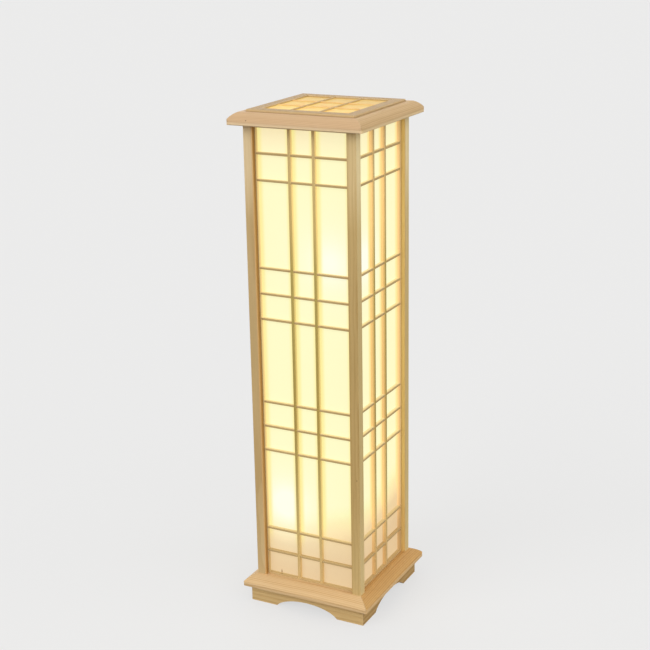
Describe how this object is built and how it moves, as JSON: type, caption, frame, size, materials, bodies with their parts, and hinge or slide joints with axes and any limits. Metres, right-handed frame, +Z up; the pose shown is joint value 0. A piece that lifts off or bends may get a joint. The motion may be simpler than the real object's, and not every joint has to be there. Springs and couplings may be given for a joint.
{
  "type": "floor lamp",
  "caption": "Square andon floor lamp: pine posts and paper-backed lattice sides on a moulded base with an arched apron, under a lift-off lid with a paper window.",
  "frame": {"origin": "centre of the footprint, on the floor", "axes": "+Z up, -Y out of the front lattice side, +X towards the right side seen from the front"},
  "size_m": [0.25, 0.25, 0.9],
  "materials": {
    "post_pine": "satin",
    "base_pine": "satin",
    "lid_pine": "satin",
    "lattice_pine": "satin",
    "hidden_pine": "matte",
    "plywood": "matte",
    "side_paper": "matte",
    "lid_parchment": "matte",
    "screw_steel": "satin",
    "contact_brass": "satin",
    "cap_metal": "satin",
    "holder_ceramic": "gloss",
    "bulb_collar": "satin",
    "bulb_opal": "satin",
    "grommet_rubber": "matte",
    "lead_sheath": "satin",
    "clip_nylon": "satin",
    "terminal_plastic": "satin"
  },
  "bodies": {
    "lamp_body": {"base_apron_front": "base_pine", "base_moulding_front": "base_pine", "front_panel_frame": "lattice_pine", "front_lattice_uprights": "lattice_pine", "front_lattice_crossbars": "lattice_pine", "front_paper": "side_paper", "base_apron_right": "base_pine", "base_moulding_right": "base_pine", "right_panel_frame": "lattice_pine", "right_lattice_uprights": "lattice_pine", "right_lattice_crossbars": "lattice_pine", "right_paper": "side_paper", "base_apron_back": "base_pine", "base_moulding_back": "base_pine", "back_panel_frame": "lattice_pine", "back_lattice_uprights": "lattice_pine", "back_lattice_crossbars": "lattice_pine", "back_paper": "side_paper", "base_apron_left": "base_pine", "base_moulding_left": "base_pine", "left_panel_frame": "lattice_pine", "left_lattice_uprights": "lattice_pine", "left_lattice_crossbars": "lattice_pine", "left_paper": "side_paper", "post_front_left": "post_pine", "post_front_right": "post_pine", "post_back_right": "post_pine", "post_back_left": "post_pine", "corner_glue_blocks": "hidden_pine", "bottom_board": "plywood", "board_screws": "screw_steel", "cord_grommet": "grommet_rubber", "upper_batten": "hidden_pine", "lower_batten": "hidden_pine", "holder_screws": "screw_steel", "lead_clips": "clip_nylon", "terminal_block": "terminal_plastic", "upper_lampholder": "holder_ceramic", "upper_holder_contacts": "contact_brass", "upper_lead": "lead_sheath", "lower_lampholder": "holder_ceramic", "lower_holder_contacts": "contact_brass", "lower_lead": "lead_sheath"},
    "lid": {"lid_moulding_front": "lid_pine", "lid_moulding_right": "lid_pine", "lid_moulding_back": "lid_pine", "lid_moulding_left": "lid_pine", "lid_frame": "lid_pine", "lid_bars_lengthwise": "lid_pine", "lid_bars_crosswise": "lid_pine", "lid_paper": "lid_parchment", "lid_cleats": "hidden_pine"},
    "upper_bulb": {"upper_bulb_cap": "cap_metal", "upper_bulb_collar": "bulb_collar", "upper_bulb_diffuser": "bulb_opal"},
    "lower_bulb": {"lower_bulb_cap": "cap_metal", "lower_bulb_collar": "bulb_collar", "lower_bulb_diffuser": "bulb_opal"}
  },
  "joints": [
    {"name": "lid_lift", "type": "slide", "parent": "lamp_body", "child": "lid", "axis": [0, 0, 1], "range_m": [0, 0.12]},
    {"name": "upper_bulb_unscrew", "type": "slide", "parent": "lamp_body", "child": "upper_bulb", "axis": [0, 0, 1], "range_m": [0, 0.03]},
    {"name": "lower_bulb_unscrew", "type": "slide", "parent": "lamp_body", "child": "lower_bulb", "axis": [0, 0, 1], "range_m": [0, 0.03]}
  ]
}
